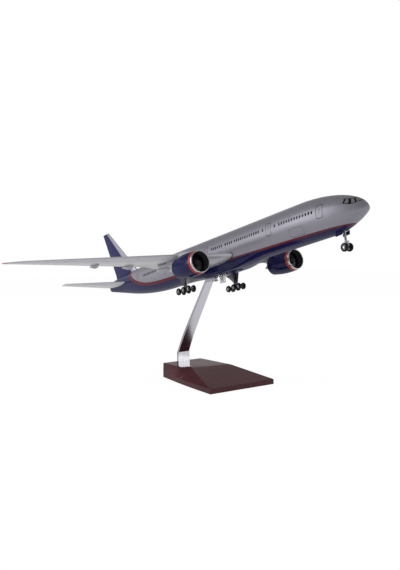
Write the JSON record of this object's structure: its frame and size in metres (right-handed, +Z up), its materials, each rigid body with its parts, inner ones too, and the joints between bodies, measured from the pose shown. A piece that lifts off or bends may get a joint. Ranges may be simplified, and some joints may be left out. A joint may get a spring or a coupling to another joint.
{
  "type": "model airliner",
  "caption": "Desk model of a long twin-engined airliner, nose up on a bent metal strip that rises from a wedge-shaped wooden base; its fans and wheels turn.",
  "frame": {"origin": "centre of the wooden base's underside", "axes": "+X towards the aircraft's nose, +Y to its port side, +Z up; the aircraft is pitched nose up by 12.33 degrees about Y"},
  "size_m": [0.4633, 0.413, 0.1909],
  "materials": {
    "base_wood": "dark red-brown, high gloss lacquer",
    "polished_strip": "polished plate",
    "screw_steel": "plain",
    "plain_wood": "bare",
    "clear_plastic": "clear, gloss",
    "lamp_glass": "frosted",
    "body_paint": "silver-grey paint, satin gloss",
    "navy_paint": "navy paint, gloss",
    "wing_paint": "light grey paint, satin",
    "red_lens": "red, clear gloss",
    "lip_silver": "bright",
    "fan_dark": "dark satin",
    "core_grey": "dark silver",
    "gear_metal": "cast, satin",
    "axle_steel": "plain",
    "hub_metal": "satin",
    "tyre_rubber": "black, semi-gloss"
  },
  "bodies": {
    "airframe": {"base": "base_wood", "strip": "polished_strip", "base_screws": "screw_steel", "flange_screws": "screw_steel", "belly_block": "plain_wood", "lamp_cup": "clear_plastic", "lamp_bulb": "lamp_glass", "lamp_screws": "screw_steel", "fuselage_left": "body_paint", "fuselage_right": "body_paint", "belly_fairing": "navy_paint", "fin": "navy_paint", "nose_leg": "gear_metal", "nose_doors": "navy_paint", "wing_left": "wing_paint", "flap_fairings_left": "wing_paint", "tip_light_left": "red_lens", "stabiliser_left": "wing_paint", "pylon_left": "wing_paint", "cowl_left": "navy_paint", "inlet_lip_left": "lip_silver", "engine_core_left": "core_grey", "main_leg_left": "gear_metal", "leg_door_left": "wing_paint", "bogie_left": "gear_metal", "wing_right": "wing_paint", "flap_fairings_right": "wing_paint", "tip_light_right": "red_lens", "stabiliser_right": "wing_paint", "pylon_right": "wing_paint", "cowl_right": "navy_paint", "inlet_lip_right": "lip_silver", "engine_core_right": "core_grey", "main_leg_right": "gear_metal", "leg_door_right": "wing_paint", "bogie_right": "gear_metal"},
    "nose_wheels": {"nose_axle": "axle_steel", "nose_hubs": "hub_metal", "nose_tyres": "tyre_rubber"},
    "wheels_left_front": {"axle_left_front": "axle_steel", "hubs_left_front": "hub_metal", "tyres_left_front": "tyre_rubber"},
    "wheels_left_middle": {"axle_left_middle": "axle_steel", "hubs_left_middle": "hub_metal", "tyres_left_middle": "tyre_rubber"},
    "wheels_left_rear": {"axle_left_rear": "axle_steel", "hubs_left_rear": "hub_metal", "tyres_left_rear": "tyre_rubber"},
    "wheels_right_front": {"axle_right_front": "axle_steel", "hubs_right_front": "hub_metal", "tyres_right_front": "tyre_rubber"},
    "wheels_right_middle": {"axle_right_middle": "axle_steel", "hubs_right_middle": "hub_metal", "tyres_right_middle": "tyre_rubber"},
    "wheels_right_rear": {"axle_right_rear": "axle_steel", "hubs_right_rear": "hub_metal", "tyres_right_rear": "tyre_rubber"},
    "fan_left": {"fan_left": "fan_dark"},
    "fan_right": {"fan_right": "fan_dark"}
  },
  "joints": [
    {"name": "nose_wheels_roll", "type": "hinge", "parent": "airframe", "child": "nose_wheels", "pos_m": [0.19743, 0, 0.1455], "axis": [0, 1, 0], "continuous": true},
    {"name": "wheels_left_front_roll", "type": "hinge", "parent": "airframe", "child": "wheels_left_front", "pos_m": [0.01224, 0.034, 0.1041], "axis": [0, 1, 0], "continuous": true},
    {"name": "wheels_left_middle_roll", "type": "hinge", "parent": "airframe", "child": "wheels_left_middle", "pos_m": [0.00321, 0.034, 0.10212], "axis": [0, 1, 0], "continuous": true},
    {"name": "wheels_left_rear_roll", "type": "hinge", "parent": "airframe", "child": "wheels_left_rear", "pos_m": [-0.00582, 0.034, 0.10015], "axis": [0, 1, 0], "continuous": true},
    {"name": "wheels_right_front_roll", "type": "hinge", "parent": "airframe", "child": "wheels_right_front", "pos_m": [0.01224, -0.034, 0.1041], "axis": [0, 1, 0], "continuous": true},
    {"name": "wheels_right_middle_roll", "type": "hinge", "parent": "airframe", "child": "wheels_right_middle", "pos_m": [0.00321, -0.034, 0.10212], "axis": [0, 1, 0], "continuous": true},
    {"name": "wheels_right_rear_roll", "type": "hinge", "parent": "airframe", "child": "wheels_right_rear", "pos_m": [-0.00582, -0.034, 0.10015], "axis": [0, 1, 0], "continuous": true},
    {"name": "fan_left_spin", "type": "hinge", "parent": "airframe", "child": "fan_left", "pos_m": [0.06117, 0.0629, 0.13199], "axis": [0.9769, 0, 0.2135], "continuous": true},
    {"name": "fan_right_spin", "type": "hinge", "parent": "airframe", "child": "fan_right", "pos_m": [0.06117, -0.0629, 0.13199], "axis": [0.9769, 0, 0.2135], "continuous": true}
  ]
}
